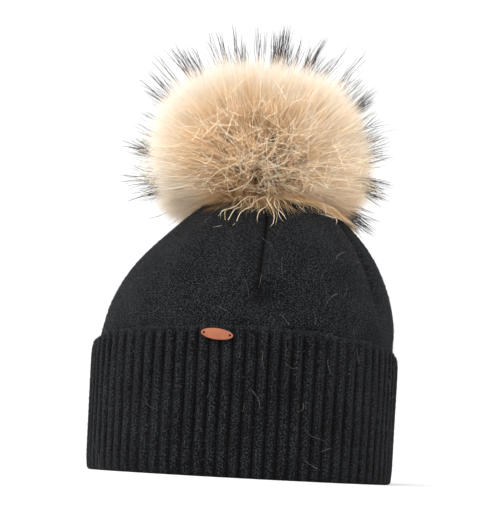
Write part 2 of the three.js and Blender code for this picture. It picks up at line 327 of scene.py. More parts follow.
def copy_of_node(node, name):
    piece = bpy.data.objects.new(name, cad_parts[node].data.copy())
    bpy.context.collection.objects.link(piece)
    select_only(piece)
    piece.data.materials.clear()
    bpy.ops.object.mode_set(mode="EDIT")
    bpy.ops.mesh.select_all(action="SELECT")
    bpy.ops.mesh.remove_doubles(threshold=0.02 * MM)
    bpy.ops.mesh.tris_convert_to_quads(face_threshold=math.pi, shape_threshold=math.pi)
    bpy.ops.mesh.select_all(action="DESELECT")
    bpy.ops.object.mode_set(mode="OBJECT")
    for layer in list(piece.data.uv_layers):
        piece.data.uv_layers.remove(layer)
    print(name, "starts with", len(piece.data.polygons), "faces")
    return piece


def apply_modifier(piece, kind, **values):
    modifier = piece.modifiers.new(kind.lower(), kind)
    for key, value in values.items():
        setattr(modifier, key, value)
    bpy.context.view_layer.objects.active = piece
    bpy.ops.object.modifier_apply(modifier=modifier.name)


def read(items, name, width=3):
    """One property of all the vertices, edges or faces of a mesh, as rows of numbers."""
    values = np.empty(len(items) * width)
    items.foreach_get(name, values)
    return values.reshape(-1, width)


def coordinates(piece):
    return read(piece.data.vertices, "co")


def set_coordinates(piece, places):
    piece.data.vertices.foreach_set("co", places.astype(np.float32).ravel())
    piece.data.update()


def smooth_faces(piece):
    piece.data.polygons.foreach_set("use_smooth", np.ones(len(piece.data.polygons), bool))


def finish_piece(piece, material, slot, *nodes):
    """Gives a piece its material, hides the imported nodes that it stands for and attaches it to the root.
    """
    piece.data.materials.append(material)
    if nodes:
        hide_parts(*nodes)
    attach(piece, "root")


def mark_sharp_lines(piece, is_line, crease):
    """Keeps a crease in the smoothed cloth along the edges whose two ends are on a line."""
    mesh = piece.data
    layer = mesh.attributes.new("crease_edge", "FLOAT", "EDGE")
    ends = read(mesh.edges, "vertices", 2).astype(int)
    both = is_line[ends[:, 0]] & is_line[ends[:, 1]]
    layer.data.foreach_set("value", (both * crease).astype(np.float32))
    print(piece.name, "keeps", int(both.sum()), "creased edges")


# %% [markdown]
# The cuff is the rib knit band, folded up on the outside. Its knit columns stand out as soft round
# bars, with narrow dark grooves between them. In the copy each groove is one line of points. Those
# lines are pushed deeper and creased, so that smoothing rounds the bars and keeps the grooves
# narrow.

# %% Cuff: find the ribs
RIBS = 78
GROOVE_EXTRA = 1.5 * MM
CUFF_SMOOTHING = 2
RIB_CUTS = 3

cuff_low, cuff_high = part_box("cuff")
half_width = (cuff_high.x - cuff_low.x) / 2
half_depth = (cuff_high.y - cuff_low.y) / 2
FOLD = 7.7 * MM
EDGE_AT_SIDES = 75 * MM
RISE_FADE = 0.8


def oval_turn(places):
    """The turn round the oval at each place: 0 at the front, growing towards the right."""
    return np.arctan2(places[:, 0] / half_width, -places[:, 1] / half_depth) % (2 * np.pi)


TURNS = np.linspace(0, 2 * np.pi, 2881)
arc_steps = np.hypot(half_width * np.cos(TURNS[:-1]), half_depth * np.sin(TURNS[:-1])) * np.diff(TURNS)
ARC = np.concatenate([[0], np.cumsum(arc_steps)])


def outward_ways(turn):
    return np.stack([np.sin(turn), -np.cos(turn), np.zeros(len(turn))], 1)


def inset_of(places):
    """How far inside the cuff's outer oval each place lies."""
    return half_width - np.hypot(places[:, 0], places[:, 1] * half_width / half_depth)


def rib_phase(places):
    """How many ribs lie between the front and each place, counted along the band."""
    return np.interp(oval_turn(places), TURNS, ARC / ARC[-1]) * RIBS


def edge_height(places):
    """The height of the cuff's turned-up edge at each place's turn, higher in front."""
    front = np.clip(np.cos(oval_turn(places)), 0, 1) ** RISE_FADE
    return EDGE_AT_SIDES + (cuff_high.z - EDGE_AT_SIDES) * front


cuff = copy_of_node("cuff", "cuff_rib")
places = coordinates(cuff)
phase = rib_phase(places)
in_groove = np.abs(phase - np.round(phase)) < 0.02
outward = outward_ways(oval_turn(places))
inset = inset_of(places)
above_floor = places[:, 2] > 0.5 * MM
outside = in_groove & (inset < 0.42 * FOLD) & above_floor
inside = in_groove & (inset > 0.70 * FOLD) & above_floor & (places[:, 2] < 56 * MM)
places[outside] -= outward[outside] * GROOVE_EXTRA
places[inside] += outward[inside] * GROOVE_EXTRA
set_coordinates(cuff, places)
mark_sharp_lines(cuff, outside | inside, 0.6)
print("groove points:", int(outside.sum()), "outside and", int(inside.sum()), "inside")

# %% [markdown]
# A hand-folded band is never quite regular. After smoothing, slow waves lean the ribs a little
# one way and the other, swell the band here and there, and make its free edge rise and fall.

# %% Cuff: smooth it and let it wander
RIB_WANDER = 0.9 * MM
RIB_SWELL = 0.5 * MM
EDGE_WANDER = 0.7 * MM

select_only(cuff)
bpy.ops.object.mode_set(mode="EDIT")
bm = bmesh.from_edit_mesh(cuff.data)
for edge in bm.edges:
    rise = abs(edge.verts[0].co.z - edge.verts[1].co.z)
    edge.select = rise > 15 * MM
bmesh.update_edit_mesh(cuff.data)
bpy.ops.mesh.subdivide(number_cuts=RIB_CUTS)
bpy.ops.mesh.select_all(action="DESELECT")
bpy.ops.object.mode_set(mode="OBJECT")
apply_modifier(cuff, "SUBSURF", levels=CUFF_SMOOTHING, render_levels=CUFF_SMOOTHING)

places = coordinates(cuff)
turn = oval_turn(places)
height = places[:, 2]
lift = np.clip(height / (30 * MM), 0, 1)
sway = (np.sin(5 * turn + 60 * height) + 0.7 * np.sin(11 * turn - 95 * height + 1.3)
        + 0.5 * np.sin(23 * turn + 140 * height + 4.0))
swell = 0.5 * np.sin(3 * turn + 0.6) + 0.5 * np.sin(7 * turn + 2.2)
along = np.stack([np.cos(turn), np.sin(turn), np.zeros(len(turn))], 1)
places += along * (lift * sway * 0.45 * RIB_WANDER)[:, None]
places += outward_ways(turn) * (lift * swell * RIB_SWELL)[:, None]
edge_share = np.clip((height - 55 * MM) / (20 * MM), 0, 1)
places[:, 2] += edge_share * EDGE_WANDER * (0.6 * np.sin(6 * turn + 1) + 0.4 * np.sin(17 * turn))
set_coordinates(cuff, places)
print("cuff_rib has", len(cuff.data.polygons), "faces")

# %% [markdown]
# The cuff's UV map counts millimetres round the band and down its outside from the turned-up edge.
# It is written for each corner of each face, so that it can jump in a groove where the band closes
# on itself at the front.

# %% UV maps in millimetres


def corner_data(piece):
    """The vertex of each face corner and the face that each corner belongs to."""
    corners = read(piece.data.loops, "vertex_index", 1).astype(int)[:, 0]
    totals = read(piece.data.polygons, "loop_total", 1).astype(int)[:, 0]
    return corners, np.repeat(np.arange(len(totals)), totals)


def face_centres(piece):
    return read(piece.data.polygons, "center")


def write_uv(piece, name, across, along_path):
    layer = piece.data.uv_layers.new(name=name)
    layer.data.foreach_set("uv", np.stack([across, along_path], 1).astype(np.float32).ravel())


corners, faces = corner_data(cuff)
places = coordinates(cuff)
phase = rib_phase(places)[corners]
centre_phase = rib_phase(face_centres(cuff))[faces]
phase += RIBS * np.round((centre_phase - phase) / RIBS)
side = np.where(inset_of(places) < 0.5 * FOLD, 1, -1)[corners]
edge = edge_height(places)
level = np.where(side > 0, places[corners, 2] - edge[corners], -places[corners, 2] - edge[corners])
write_uv(cuff, KNIT_MAP, phase * STITCH_WIDTH * 2, level / MM)
smooth_faces(cuff)
finish_piece(cuff, cuff_wool, "cuff_knit", "cuff")

# %% [markdown]
# The crown is plain knit, drawn in by four darts towards the gathered top. The table repeats the
# packed crown's rows: height, width, depth and lean as shares. It tells how far up the crown any
# point lies, its turn round the middle, and how far it is from the nearest dart.

# %% Crown: where the darts run
CROWN_FOOT_Z = 75 * MM
CROWN_TOP_Z = 183 * MM
CROWN_WIDE = 90.4 * MM
CROWN_DEEP = 71.9 * MM
TOP_LEAN = 10.5 * MM
CROWN_ROWS = np.array([
    (0.00, 1.000, 1.000, 0.00), (0.16, 0.985, 0.985, 0.22), (0.26, 0.963, 0.964, 0.26),
    (0.37, 0.916, 0.925, 0.40), (0.48, 0.848, 0.868, 0.56), (0.59, 0.753, 0.780, 0.77),
    (0.70, 0.638, 0.672, 0.90), (0.80, 0.508, 0.550, 0.97), (0.89, 0.365, 0.405, 1.00),
    (0.96, 0.210, 0.235, 1.00), (1.00, 0.050, 0.060, 1.00),
])
DARTS = np.array([(4, -3, 1.0), (57, 64, 0.7), (183, 180, 0.9), (268, 272, 0.45)])


def crown_turn(places):
    """How far up the crown each place is, its turn, and the middle and radius at that height."""
    up = np.clip((places[:, 2] - CROWN_FOOT_Z) / (CROWN_TOP_Z - CROWN_FOOT_Z), 0, 1)
    wide, deep, lean = (np.interp(up, CROWN_ROWS[:, 0], CROWN_ROWS[:, i]) for i in (1, 2, 3))
    x = places[:, 0] - lean * TOP_LEAN
    turn = np.arctan2(x / (wide * CROWN_WIDE), -places[:, 1] / (deep * CROWN_DEEP))
    return up, turn % (2 * np.pi), lean * TOP_LEAN, np.hypot(x, places[:, 1])


def dart_turns(up):
    """The turn of each dart at each height."""
    return np.radians(DARTS[:, :1] + (DARTS[:, 1:2] - DARTS[:, :1]) * up)


def dart_distance(places):
    """Millimetres from each place to the nearest dart, and that dart's strength there."""
    up, turn, _, radius = crown_turn(places)
    away = np.abs((turn - dart_turns(up) + np.pi) % (2 * np.pi) - np.pi)
    nearest = away.argmin(0)
    shown = np.clip((up - 0.20) / 0.10, 0, 1)
    return away.min(0) * radius / MM, DARTS[nearest, 2] * shown


print("darts at", DARTS[:, 0], "degrees from the front")

# %% [markdown]
# The copy already has the darts as valleys. Their lines are pushed in a little more and creased
# before smoothing, so that each ends in a thin dark fold. Then come shallow puckers beside each
# dart, where the seam pulls the cloth, a dimple at the foot of the front dart, and broad soft
# dents.

# %% Crown: smooth it and pucker it
CROWN_SMOOTHING = 2
DART_FOLD = 2.0 * MM
DIMPLE_PLACE = np.array([7.0, -68.0, 103.0]) * MM
DIMPLE_DEPTH = 3.6 * MM
DIMPLE_SIZE = 8 * MM

crown = copy_of_node("crown", "crown_knit")


def from_inside(places):
    """Unit directions from a line inside the crown out through each place."""
    _, _, lean, _ = crown_turn(places)
    ways = places - np.stack([lean, 0 * lean, 0.09 + 0 * lean], 1)
    return ways / np.linalg.norm(ways, axis=1)[:, None]


def dimple_share(places):
    """1 in the middle of the dimple, fading to 0 round it."""
    away = np.linalg.norm(places - DIMPLE_PLACE, axis=1) / DIMPLE_SIZE
    return np.exp(-0.5 * away ** 2)


places = coordinates(crown)
distance, strength = dart_distance(places)
_, _, _, radius = crown_turn(places)
on_dart = (distance < 0.018 * radius / MM) & (strength > 0) & (places[:, 2] < 176 * MM)
fold = np.where(on_dart, strength, 0) * DART_FOLD
places -= from_inside(places) * fold[:, None]
set_coordinates(crown, places)
mark_sharp_lines(crown, on_dart, 0.9)
apply_modifier(crown, "SUBSURF", levels=CROWN_SMOOTHING, render_levels=CROWN_SMOOTHING)

places = coordinates(crown)
distance, strength = dart_distance(places)
_, turn, _, _ = crown_turn(places)
above_cuff = np.clip((places[:, 2] - 80 * MM) / (15 * MM), 0, 1)
pucker = np.exp(-distance / 7) * np.sin(places[:, 2] / MM * 1.15 + 2 * np.sin(3 * turn))
dents = (np.sin(4 * turn + 38 * places[:, 2]) + np.sin(9 * turn - 55 * places[:, 2] + 2.0)
         + 0.6 * np.sin(17 * turn + 90 * places[:, 2] + 0.7))
dimple = dimple_share(places) * DIMPLE_DEPTH
places += from_inside(places) * (above_cuff * (0.35 * pucker + 0.30 * dents) * MM - dimple)[:, None]
set_coordinates(crown, places)
print("crown_knit has", len(crown.data.polygons), "faces")

# %% Crown: its UV maps
corners, faces = corner_data(crown)
places = coordinates(crown)
up, turn, _, radius = crown_turn(places)
centre_up, centre_turn, _, _ = crown_turn(face_centres(crown))
sector = ((centre_turn - dart_turns(centre_up)) % (2 * np.pi)).argmin(0)
starts = DARTS[:, 0]
ends = np.roll(starts, -1) + np.array([0, 0, 0, 360])
sector_middle = np.radians((starts + ends) / 2)
away = (turn[corners] - sector_middle[sector][faces] + np.pi) % (2 * np.pi) - np.pi
slope_length = places[:, 2] / MM + 60 * up ** 2
write_uv(crown, KNIT_MAP, away * radius[corners] / MM, slope_length[corners])
distance, strength = dart_distance(places)
# The dart map's U falls in the darts and in the dimple, where the crown's wool gets painted shade.
share = 1 - np.clip(1 - distance / 3, 0, 1) * np.clip(strength * 1.2, 0, 1)
share *= 1 - 0.85 * dimple_share(places)
write_uv(crown, DART_MAP, share[corners], up[corners])
smooth_faces(crown)
finish_piece(crown, crown_wool, "crown_knit", "crown")

# %% [markdown]
# Hair, fuzz and stray fibres are all made the same way. Each hair is a ribbon that narrows to a
# point, and thousands of ribbons are joined into one mesh from arrays. The UV map gives each hair
# one shade in U and runs from root to tip in V, so that a material can colour it along its length.

# %% Ribbons from arrays
HAIR_MAP = "OFBake"
SHADE_WIDTH = 0.004


def ribbon_mesh(name, paths, widths, shades):
    """One mesh of ribbons. paths is hairs by points by xyz, widths is hairs by points but the
    last, or hairs by one, and shades is one number from 0 to 1 for each hair."""
    hairs, points, _ = paths.shape
    side = unit(np.cross(paths[:, -1] - paths[:, 0], SIDE_HINT[:hairs]))
    offset = side[:, None, :] * widths[:, :, None] / 2
    left = paths[:, :-1] - offset
    right = paths[:, :-1] + offset
    pairs = np.stack([left, right], 2).reshape(hairs, 2 * (points - 1), 3)
    vertices = np.concatenate([pairs, paths[:, -1:]], 1).reshape(-1, 3)
    per_hair = 2 * (points - 1) + 1
    quads = [(2 * i, 2 * i + 1, 2 * i + 3, 2 * i + 2) for i in range(points - 2)]
    tip = [per_hair - 3, per_hair - 2, per_hair - 1]
    pattern = np.array([corner for quad in quads for corner in quad] + tip)
    loops = (pattern[None] + per_hair * np.arange(hairs)[:, None]).ravel()
    sizes = np.array([4] * (points - 2) + [3])
    starts = np.concatenate([[0], np.cumsum(sizes)[:-1]])
    loop_starts = (starts[None] + len(pattern) * np.arange(hairs)[:, None]).ravel()

    mesh = bpy.data.meshes.new(name)
    mesh.vertices.add(len(vertices))
    mesh.vertices.foreach_set("co", vertices.astype(np.float32).ravel())
    mesh.loops.add(len(loops))
    mesh.loops.foreach_set("vertex_index", loops.astype(np.int32))
    mesh.polygons.add(len(loop_starts))
    mesh.polygons.foreach_set("loop_start", loop_starts.astype(np.int32))
    mesh.update(calc_edges=True)

    along = np.repeat(np.linspace(0, 1, points)[:-1], 2)
    v = np.concatenate([along, [1.0]])[pattern]
    u_side = np.concatenate([np.tile([-1.0, 1.0], points - 1), [0.0]])[pattern] * SHADE_WIDTH
    u = np.clip(shades, 0.01, 0.99)[:, None] + u_side[None]
    piece = bpy.data.objects.new(name, mesh)
    bpy.context.collection.objects.link(piece)
    write_uv(piece, HAIR_MAP, u.ravel(), np.tile(v, hairs))
    smooth_faces(piece)
    print(name, "has", hairs, "hairs and", hairs * (2 * (points - 2) + 1), "triangles")
    return piece


MOST_HAIRS = 60000
SIDE_HINT = np.random.default_rng(5).normal(size=(MOST_HAIRS, 3))


def unit(vectors):
    return vectors / (np.linalg.norm(vectors, axis=-1, keepdims=True) + 1e-12)


# %% [markdown]
# The fur fans out from the point where the pompom is tied on, near the top of the hat, long upward
# and short underneath. That is why the picture shows a dark brown parting low in the ball, where
# we look along the hairs, and cream sides, where we see their length. Each hair ends on a round
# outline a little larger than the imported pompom.

# %% Fur: the fan of hairs
FUR_MIDDLE = np.array([1.3, 0.0, 200.0]) * MM
FUR_HALF = np.array([74.0, 69.0, 63.0]) * MM
FUR_BELOW = 55 * MM
FRONT_BELOW = 43 * MM
LOWEST_TIP = 161 * MM
UNDERSIDE_SLOPE = 0.35
FRONT_ROOM = 2 * MM
FUR_BOX_LOW = np.array([-105.0, -89.0, 60.0]) * MM
FUR_BOX_HIGH = np.array([105.0, 87.0, 279.5]) * MM
FUR_SHOULDER = 2.35
FARTHEST_OUTLINE = 0.2
HALVINGS = 22
TIE_POINT = np.array([2.0, 0.0, 181.0]) * MM


def reach_to_outline(directions, scale=1.0):
    """How far it is from the tie point to the fur's outline along each direction."""
    to_front = np.clip(-unit(directions * [1, 1, 0])[:, 1], 0, 1) ** 1.5
    below = FUR_BELOW + (FRONT_BELOW - FUR_BELOW) * to_front
    near = np.zeros(len(directions))
    far = np.full(len(directions), FARTHEST_OUTLINE)
    for _ in range(HALVINGS):
        middle = (near + far) / 2
        offset = TIE_POINT + directions * middle[:, None] - FUR_MIDDLE
        half = np.tile(FUR_HALF, (len(directions), 1))
        half[:, 2] = np.where(offset[:, 2] < 0, below, half[:, 2])
        inside = (np.abs(offset / (half * scale)) ** FUR_SHOULDER).sum(1) < 1
        near = np.where(inside, middle, near)
        far = np.where(inside, far, middle)
    return near


crown_places = coordinates(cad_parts["crown"])
LEVELS = np.linspace(120, 183, 22) * MM
crown_levels = []
for level in LEVELS:
    ring = crown_places[np.abs(crown_places[:, 2] - level) < 6 * MM]
    low, high = ring.min(0), ring.max(0)
    crown_levels.append(((high[0] + low[0]) / 2, (high[0] - low[0]) / 2, (high[1] - low[1]) / 2))
crown_levels = np.array(crown_levels)


def crown_ring(z):
    """The middle, half width and half depth of the crown at each height."""
    return (np.interp(z, LEVELS, crown_levels[:, i]) for i in range(3))


def clear_of_crown(points, gap):
    """Moves points that lie inside the crown out to its surface, so that fur drapes over it."""
    flat = points.reshape(-1, 3).copy()
    middle, wide, deep = crown_ring(flat[:, 2])
    x = flat[:, 0] - middle
    share = np.sqrt((x / (wide + gap)) ** 2 + (flat[:, 1] / (deep + gap)) ** 2) + 1e-9
    under = (share < 1) & (flat[:, 2] < CROWN_TOP_Z)
    flat[under, 0] = middle[under] + x[under] / share[under]
    flat[under, 1] /= share[under]
    return flat.reshape(points.shape)


def even_directions(count, rng, lowest):
    up = rng.uniform(lowest, 1.0, count)
    around = rng.uniform(0, 2 * np.pi, count)
    level = np.sqrt(1 - up ** 2)
    return np.stack([level * np.cos(around), level * np.sin(around), up], 1)


def slow_flow(directions):
    """A smooth sideways pull that differs from place to place, as combed fur has."""
    x, y, z = directions.T
    return np.stack([
        np.sin(3.1 * y + 2.0 * z + 0.5) + 0.6 * np.sin(6.3 * z - 3.0 * y + 1.0),
        np.sin(2.7 * z + 2.3 * x + 1.7) + 0.6 * np.sin(5.9 * x + 2.5 * z + 2.0),
        np.sin(2.9 * x - 2.1 * y + 2.9) + 0.6 * np.sin(6.7 * y - 2.2 * x + 0.3),
    ], 1)


def fur_paths(directions, lengths, points, rng, curl, root_share=0.3, lowest=LOWEST_TIP,
              lean=0, flow=3.0 * MM):
    """Curved hairs from near the tie point outward. Lengths are shares of the way out."""
    level = np.hypot(directions[:, 0], directions[:, 1]) + 1e-6
    front = np.clip(-directions[:, 1] / level, 0, 1) ** 0.7
    falling = -directions[:, 2] / level + UNDERSIDE_SLOPE * front
    room = (TIE_POINT[2] - lowest + FRONT_ROOM * front) / np.clip(falling, 0.01, None) / level
    span = np.minimum(reach_to_outline(directions), room * rng.uniform(0.8, 1.04, len(room))) * lengths
    towards = np.where(directions > 0, FUR_BOX_HIGH, FUR_BOX_LOW) - TIE_POINT
    box_room = (towards / (directions + 1e-9)).min(1)
    span = np.minimum(span, box_room * rng.uniform(0.96, 1.0, len(room)))
    share = np.linspace(root_share, 1, points)[None, :, None]
    bend = np.linspace(0, 1, points)[None, :, None] ** 1.8
    straight = TIE_POINT + directions[:, None, :] * span[:, None, None] * share
    sideways = slow_flow(directions) * flow + rng.normal(size=directions.shape) * curl + lean
    sideways[:, 2] -= 1.3 * flow * (1 - np.abs(directions[:, 2])) * (1 - 0.7 * front)
    paths = straight + sideways[:, None, :] * bend
    over = np.clip(paths[:, -1] - FUR_BOX_HIGH, 0, None) + np.clip(paths[:, -1] - FUR_BOX_LOW, None, 0)
    return clear_of_crown(paths - over[:, None, :] * bend, 0.6 * MM)


print("fur outline is", np.round(2 * FUR_HALF / MM), "mm")

# %% [markdown]
# The dense underfur is brown, tan or cream, and each hair is paler towards its end. Long guard
# hairs stand out past it, cream low down and dark grey at their tips. Each kind gets colour ramps
# from root to tip, from its darkest hairs to its palest. U picks between the ramps hair by hair.

# %% Fur materials


def fur_material(name, roughness, *ramps):
    material, tree, shader = new_material(name, roughness, 0.2)
    _, shade, along = map_node(tree, HAIR_MAP)
    colour = screen_ramp(tree, along, ramps[0])
    for index, stops in enumerate(ramps[1:]):
        share = math_node(tree, "MULTIPLY_ADD", shade, len(ramps) - 1, -index)
        colour = mix_node(tree, share, colour, screen_ramp(tree, along, stops))
    tree.links.new(colour, shader.inputs["Base Color"])
    return material


underfur = fur_material(
    "underfur", 0.75,
    [(0, (38, 23, 11)), (0.4, (66, 41, 20)), (0.75, (108, 69, 32)), (1, (136, 90, 44))],
    [(0, (180, 124, 68)), (0.4, (224, 174, 112)), (0.75, (246, 206, 150)), (1, (252, 224, 178))],
    [(0, (226, 196, 160)), (0.3, (250, 238, 218)), (0.6, (253, 247, 236)), (1, (253, 250, 245))],
)
guard_fur = fur_material(
    "guard_fur", 0.6,
    [(0, (190, 160, 126)), (0.50, (240, 218, 190)), (0.58, (150, 104, 88)), (0.64, (44, 41, 45)),
     (1, (22, 21, 25))],
    [(0, (220, 196, 164)), (0.56, (250, 238, 218)), (0.66, (120, 102, 98)), (0.74, (48, 46, 52)),
     (1, (28, 28, 33))],
)
stray_fur = fur_material(
    "stray_fur", 0.5,
    [(0, (206, 170, 124)), (0.5, (246, 218, 170)), (1, (250, 228, 188))],
    [(0, (236, 214, 182)), (0.5, (255, 246, 226)), (1, (255, 244, 222))],
)

# %% [markdown]
# A plain ball in fur colours lies behind the hairs, so that nothing shows through between them.
# The underfur stands on it in small strands, which are drawn together into locks. Where a strand
# stands decides how it looks: brown, ragged and open round the parting, and cream and even
# everywhere else. Strands are also paler on top and browner and darker underneath, partly the fur's
# own colour and partly painted light and shade over the ball.

# %% Fur: the backing ball
bpy.ops.mesh.primitive_ico_sphere_add(subdivisions=5, radius=1, location=(0, 0, 0))
backing = bpy.context.object
backing.name = "pompom_backing"
places = unit(coordinates(backing))
reach = reach_to_outline(places, 0.72) * (1 + 0.05 * np.sin(9 * places[:, 0]) * np.sin(8 * places[:, 2]))
places = clear_of_crown(TIE_POINT + places * (0.66 * reach)[:, None], 0.5 * MM)
set_coordinates(backing, places)
backing_fur, tree, shader = new_material("pompom_backing_fur", 0.9)
clouds = noise_node(tree, object_place(tree), 260, 5)
tan = screen_ramp(tree, clouds, [(0.3, (126, 94, 64)), (0.75, (186, 148, 108))])
tree.links.new(tan, shader.inputs["Base Color"])
smooth_faces(backing)
finish_piece(backing, backing_fur, "fur", "pompom")

# %% Fur: three layers of underfur
UNDERFUR_LAYERS = 3
UNDERFUR_HAIRS = 60000
LOCKS = 420
STRANDS = 9000
LOWEST_HAIR = -0.72
PARTING = unit(np.array([-0.12, -1.0, 0.09]))
PARTING_WIDTH = math.radians(44)

strand_rng = np.random.default_rng(100)
locks = even_directions(LOCKS, strand_rng, LOWEST_HAIR)
strands = even_directions(STRANDS, strand_rng, LOWEST_HAIR)
lock = (strands @ locks.T).argmax(1)
angle = np.arccos(np.clip(strands @ PARTING, -1, 1))
# Low front strands count as brown: partly the fur's own colour and partly painted shade under the ball.
low = np.clip(0.1 - 1.6 * strands[:, 2], 0, 1) * np.clip(-strands[:, 1], 0, 1)
brown = np.clip(np.exp(-(angle / PARTING_WIDTH) ** 2.6) + 0.7 * low, 0, 1)
strands = unit(strands + (locks[lock] - strands) * (0.2 + 0.3 * brown[:, None]))
# The height term makes strands paler on top and darker underneath: painted light and shade, on top of the
# fur's own colours.
strand_shade = 0.89 - 0.15 * strands[:, 0] + 0.13 * strands[:, 2] - 0.38 * brown
strand_shade += strand_rng.normal(size=STRANDS) * (0.03 + 0.35 * brown)
strand_shade += strand_rng.uniform(-1, 1, LOCKS)[lock] * (0.03 + 0.26 * brown)
recess = 0.5 * strand_rng.uniform(0, 1, STRANDS) + 0.5 * np.clip(1 - strand_shade, 0, 1)
# Downward strands are capped darker still: painted shade under the ball.
strand_shade = np.minimum(strand_shade, 1 - 0.42 * brown - 0.65 * np.clip(-strands[:, 2], 0, 1))
strand_length = 1 - (0.06 + 0.14 * brown) * recess
strand_lean = strand_rng.normal(size=(STRANDS, 3)) * (1.8 + 4.0 * brown[:, None]) * MM
print(STRANDS, "strands in", LOCKS, "locks")


def underfur_layer(number):
    rng = np.random.default_rng(100 + number)
    owner = rng.integers(0, STRANDS, UNDERFUR_HAIRS)
    spread = 0.045 - 0.029 * brown[owner, None]
    directions = unit(strands[owner] + rng.normal(size=(UNDERFUR_HAIRS, 3)) * spread)
    lengths = strand_length[owner] * (0.80 + 0.20 * rng.beta(3.2, 1.2, UNDERFUR_HAIRS))
    paths = fur_paths(directions, lengths, 3, rng, 0.9 * MM, 0.45, LOWEST_TIP, strand_lean[owner])
    widths = rng.uniform(0.18, 0.34, UNDERFUR_HAIRS)[:, None] * MM * np.array([1.0, 0.85])[None]
    return ribbon_mesh(f"pompom_underfur_{number}", paths, widths,
                       strand_shade[owner] + rng.normal(size=UNDERFUR_HAIRS) * 0.08)


for number in range(1, UNDERFUR_LAYERS + 1):
    finish_piece(underfur_layer(number), underfur, "fur", "pompom")

# %% [markdown]
# Guard hairs stand past the underfur in tufts and singly. The table holds the tufts round the
# ball's outline: each one's lean to the right of upright in degrees, its number of hairs, how far
# the longest reach from the tie point in millimetres, its spread in degrees, and how far its tips
# droop in millimetres, or curl up where that is negative. A tuft is made of wisps of about nine
# hairs that bend together. Other tufts are scattered over the back.

# %% Fur: guard hairs
TUFTS = np.array([
    (-31, 60, 109, 3.2, 0), (-19.5, 16, 110, 1.8, 2), (-15, 5, 103, 2, 0), (-11, 14, 102, 1.5, 0),
    (-6, 4, 98, 2, 0), (-1.5, 16, 108, 1.1, 0), (7.5, 76, 108, 2.1, 0), (13.5, 10, 101, 2, 0),
    (21, 56, 110, 1.8, 4), (27.5, 14, 109, 2.2, 2), (36.5, 12, 106, 2.2, 0), (41.5, 10, 107, 2.2, 0),
    (50.4, 62, 101, 1.8, -1), (56, 10, 93, 2.4, 0), (64, 36, 91, 1.8, -2), (69, 48, 93, 2, -2),
    (75, 18, 88, 2.2, -2), (84.5, 120, 86, 2.7, 8), (102.5, 110, 80, 2.2, 9),
    (-37, 10, 105, 2.2, 0), (-43, 12, 106, 2.4, 0), (-51, 28, 99, 3, -2), (-60.5, 10, 95, 1.6, 0),
    (-66, 8, 87, 2.2, 0), (-77, 64, 90, 2.6, -1), (-84, 12, 80, 2.4, 0), (-90.5, 44, 78, 2.2, 0),
    (-97, 26, 75, 2.2, 0),
])
FORWARD_LEAN = 0.20
LOWEST_GUARD_TIP = 145 * MM
GUARD_POINTS = 9
GUARD_CURL = 1.8 * MM
BACK_TUFTS = 30
BACK_TUFT_HAIRS = 45
BACK_WISPS = 5
SINGLE_GUARD_HAIRS = 90
WISP_HAIRS = 9
WISP_BEND = 3.2 * MM


def tuft(rng, lean, hairs, length, spread, droop):
    """The directions, lengths, droops and bends of one tuft's hairs."""
    turn, wisps = math.radians(lean), max(2, hairs // WISP_HAIRS)
    axis = np.array([math.sin(turn), -FORWARD_LEAN * max(math.cos(turn), 0), math.cos(turn)])
    wisp = rng.integers(0, wisps, hairs)
    fan = rng.normal(size=(wisps, 3))[wisp] * 0.8 + rng.normal(size=(hairs, 3)) * 0.45
    ways = unit(axis + fan * [1, 2, 1] * math.radians(spread))
    past = length * MM / reach_to_outline(ways) - 1
    past = past * rng.uniform(0.45, 1.0, wisps)[wisp] * rng.uniform(0.1, 1.0, hairs) ** 0.6
    return ways, 1 + past, np.full(hairs, droop) * MM, rng.normal(size=(wisps, 3))[wisp] * WISP_BEND


def back_tuft(rng):
    turn, rise = math.radians(rng.uniform(100, 260)), math.radians(rng.uniform(-12, 80))
    axis = np.array([math.sin(turn) * math.cos(rise), -math.cos(turn) * math.cos(rise), math.sin(rise)])
    ways = unit(axis + rng.normal(size=(BACK_TUFT_HAIRS, 3)) * 0.06)
    lengths = rng.uniform(1.04, 1.2, BACK_TUFT_HAIRS)
    bends = rng.normal(size=(BACK_WISPS, 3))[rng.integers(0, BACK_WISPS, BACK_TUFT_HAIRS)]
    return ways, lengths, np.zeros(BACK_TUFT_HAIRS), bends * WISP_BEND


def single_hairs(rng):
    ways = even_directions(SINGLE_GUARD_HAIRS, rng, -0.3)
    ways = ways[(ways[:, 1] > -0.35) | (ways[:, 2] > 0.85)]
    lengths = rng.uniform(1.0, 1.25, len(ways))
    return ways, lengths, np.zeros(len(ways)), rng.normal(size=(len(ways), 3)) * WISP_BEND


def guard_hairs():
    rng = np.random.default_rng(41)
    groups = [tuft(rng, lean, int(hairs), *rest) for lean, hairs, *rest in TUFTS]
    groups += [back_tuft(rng) for _ in range(BACK_TUFTS)]
    groups.append(single_hairs(rng))
    directions, lengths, droops, bends = (np.concatenate(column) for column in zip(*groups))
    paths = fur_paths(directions, lengths, GUARD_POINTS, rng, GUARD_CURL, 0.55, LOWEST_GUARD_TIP, bends, 0)
    along = np.linspace(0, 1, GUARD_POINTS)
    paths[:, :, 2] -= droops[:, None] * along[None] ** 2.2
    hairs = len(directions)
    side = unit(np.cross(directions, rng.normal(size=directions.shape)))
    wave = np.sin(along[None] * rng.uniform(4, 9, (hairs, 1)) + rng.uniform(0, 6, (hairs, 1)))
    sway = wave * along[None] * rng.uniform(0.4, 2.2, (hairs, 1)) * MM
    paths += side[:, None, :] * sway[:, :, None]
    widths = rng.uniform(0.22, 0.46, hairs)[:, None] * MM
    widths = widths * np.interp(along[:-1], [0, 0.2, 0.7, 1.0], [0.8, 1, 0.9, 0.5])[None]
    return ribbon_mesh("pompom_guard_hair", paths, widths, rng.uniform(0, 1, hairs))


finish_piece(guard_hairs(), guard_fur, "fur", "pompom")

